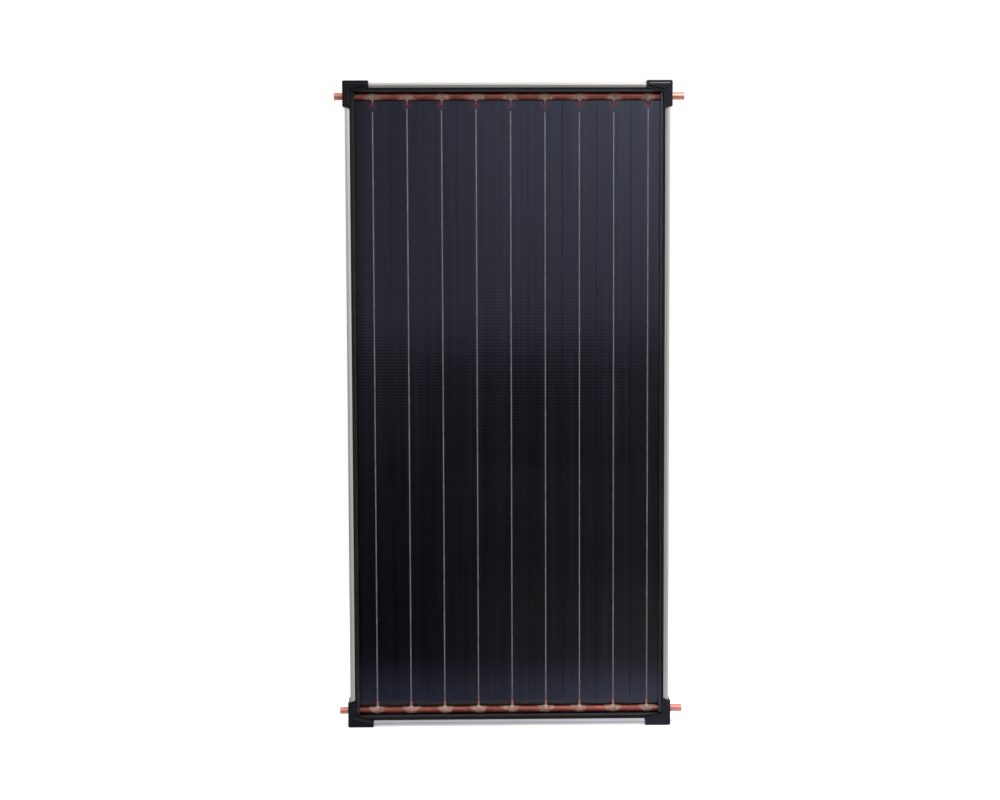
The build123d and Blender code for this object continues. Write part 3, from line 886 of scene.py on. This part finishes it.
def floor_ahead(g, x, ahead):
    """The floor in front, in a mirror: bluish close by, warm and dimmer far off, both to the right."""
    close = g.math(
        "MULTIPLY", g.span(ahead, 0.20, 1.10, 1.0, 0.0), g.span(x, -0.05, 0.45, 0.38, 0.74)
    )
    right = g.line(x, -0.40, 0.55)
    distant = g.math("MULTIPLY", g.span(ahead, 1.2, 3.6, 0.27, 0.06), right)
    distant = g.math("ADD", distant, g.span(ahead, 1.8, 5.0, 0.0, 0.03))
    close_glow = g.emission(colour(*NEAR_COLOUR), close)
    far_glow = g.emission(colour(*FAR_COLOUR), distant)
    return g.add("ShaderNodeAddShader", {0: close_glow, 1: far_glow}).outputs[0]


def floor_mirrored(g, x, ahead):
    """The whole floor in a mirror. Rays that lean aside, or fall beside the pane, see it bright."""
    ray_x, ray_y, _ = g.part_of(g.add("ShaderNodeNewGeometry").outputs["Incoming"])
    lean = g.math("DIVIDE", g.math("MULTIPLY", ray_x, -1.0), g.math("MAXIMUM", ray_y, 0.001))
    to_right = g.span(lean, 0.20, 0.42)
    to_left = g.span(lean, -0.42, -0.20, 1.0, 0.0)
    sideways = g.math("ADD", to_right, to_left, clamp=True)
    sideways = g.math("MULTIPLY", sideways, g.span(lean, -1.6, -0.8, 0.15, 1.0))
    side_glow = g.emission(colour(*SIDE_COLOUR), SIDE_GLOW)
    dim = g.blend(sideways, floor_ahead(g, x, ahead), side_glow)
    beside = g.math("SUBTRACT", x, g.math("MULTIPLY", ahead, CAMERA_SLANT))
    before_pane = g.span(beside, 0.50, 0.62, 1.0, 0.0)
    in_front = g.math("MULTIPLY", g.span(ahead, 0.030, 0.046), before_pane)
    return g.blend(in_front, g.emission(WHITE, BARE_GLOW), dim)


def build_floor():
    """A pale floor. It fades to plain white far off. In mirrors it dims with distance in front."""
    mesh = bpy.data.meshes.new("floor")
    signs = [(-1, -1), (1, -1), (1, 1), (-1, 1)]
    corners = [(FLOOR_HALF * along, FLOOR_HALF * back, 0.0) for along, back in signs]
    mesh.from_pydata(corners, [], [(0, 1, 2, 3)])
    floor = bpy.data.objects.new("floor", mesh)
    bpy.context.scene.collection.objects.link(floor)
    material, g = new_material("pale_floor")
    x, y, _ = g.part_of(g.place())
    far = g.math("SQRT", g.math("ADD", g.math("POWER", x, 2.0), g.math("POWER", y, 2.0)))
    matt = g.add("ShaderNodeBsdfDiffuse", {"Color": colour(*FLOOR_WHITE)}).outputs[0]
    lift = g.emission(WHITE, FLOOR_LIFT)
    near_floor = g.add("ShaderNodeAddShader", {0: matt, 1: lift}).outputs[0]
    lit = g.blend(g.span(far, 1.0, 2.5), near_floor, g.emission(WHITE, 1.0))
    mirrored = floor_mirrored(g, x, g.math("MULTIPLY", y, -1.0))
    glossy = g.add("ShaderNodeLightPath").outputs["Is Glossy Ray"]
    g.surface(g.blend(glossy, lit, mirrored))
    mesh.materials.append(material)


def build_light(name, place, aim, width, depth, power):
    """A rectangular lamp that faces its aim."""
    lamp = bpy.data.lights.new(name, "AREA")
    lamp.shape = "RECTANGLE"
    lamp.size = width
    lamp.size_y = depth
    lamp.energy = power
    lamp.color = LAMP_COLOUR
    light = bpy.data.objects.new(name, lamp)
    bpy.context.scene.collection.objects.link(light)
    light.location = place
    light.rotation_mode = "QUATERNION"
    light.rotation_quaternion = (Vector(aim) - Vector(place)).to_track_quat("-Z", "Y")


def build_camera():
    """The camera stands in front, a little left of the middle and above it, looking slightly down."""
    lens_data = bpy.data.cameras.new("camera")
    lens_data.sensor_width = SENSOR_WIDTH
    lens_data.lens = CAMERA_LENS
    camera = bpy.data.objects.new("camera", lens_data)
    bpy.context.scene.collection.objects.link(camera)
    camera.location = CAMERA_PLACE
    towards = Vector(CAMERA_AIM) - camera.location
    roll = Quaternion((0.0, 0.0, 1.0), math.radians(CAMERA_ROLL))
    camera.rotation_mode = "QUATERNION"
    camera.rotation_quaternion = towards.to_track_quat("-Z", "Y") @ roll
    bpy.context.scene.camera = camera


# ---------------------------------------------------------------- build


fin_seam = weld_track()
dress_cad()
for fin_number in range(1, FIN_COUNT + 1):
    build_fin(fin_number, fin_seam)
build_brazes()
build_wool()

build_world()
build_floor()
middle = (CAD_BOUNDS[0] + CAD_BOUNDS[1]) / 2
build_light("key", (1.78, -2.1, 4.56), (1.6, 0.0, 1.6), 2.0, 1.0, 115.0)
build_light("fill", (-2.8, -1.6, 3.8), middle, 1.6, 1.2, 45.0)
build_camera()
bpy.context.scene.view_settings.view_transform = "Standard"
